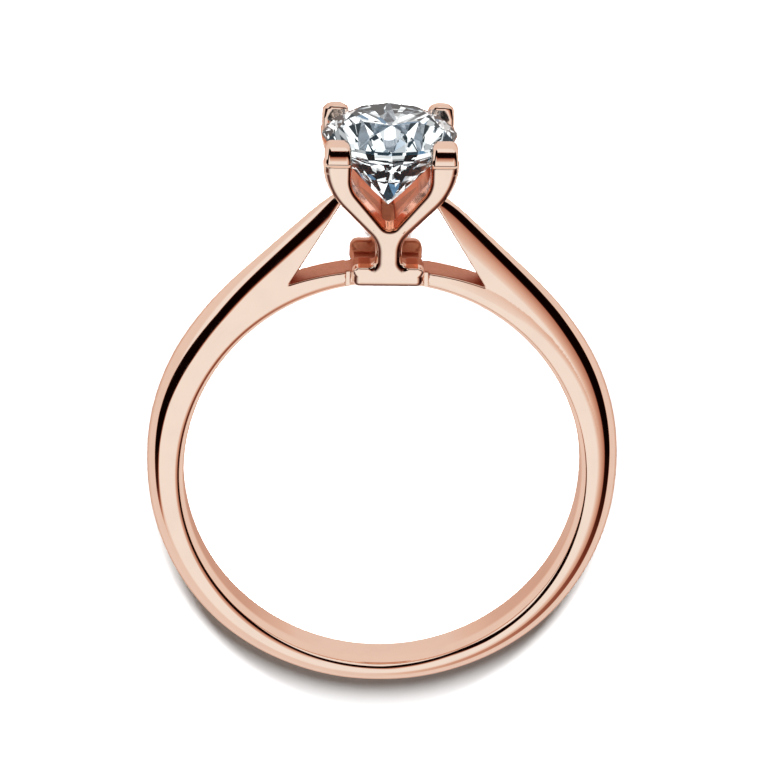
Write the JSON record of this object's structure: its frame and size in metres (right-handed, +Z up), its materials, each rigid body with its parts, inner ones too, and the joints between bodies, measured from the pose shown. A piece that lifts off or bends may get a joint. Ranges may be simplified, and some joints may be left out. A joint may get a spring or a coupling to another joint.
{
  "type": "solitaire ring",
  "caption": "Polished rose-gold solitaire ring with a domed band, cathedral shoulders, a claw head on Y-shaped plates and a round brilliant-cut stone, lying on its side.",
  "frame": {"origin": "on the floor, below the middle of the ring's bounding box", "axes": "+X across the ring, +Y along the floor from the finger hole towards the stone, +Z up from the floor, 4.2 degrees off the finger hole's axis"},
  "size_m": [0.0202, 0.0256, 0.0061],
  "materials": {
    "rose_gold": "mirror-polished rose gold",
    "diamond": "clear faceted stone"
  },
  "bodies": {
    "root": {"ring": "rose_gold", "diamond": "diamond"}
  },
  "joints": []
}
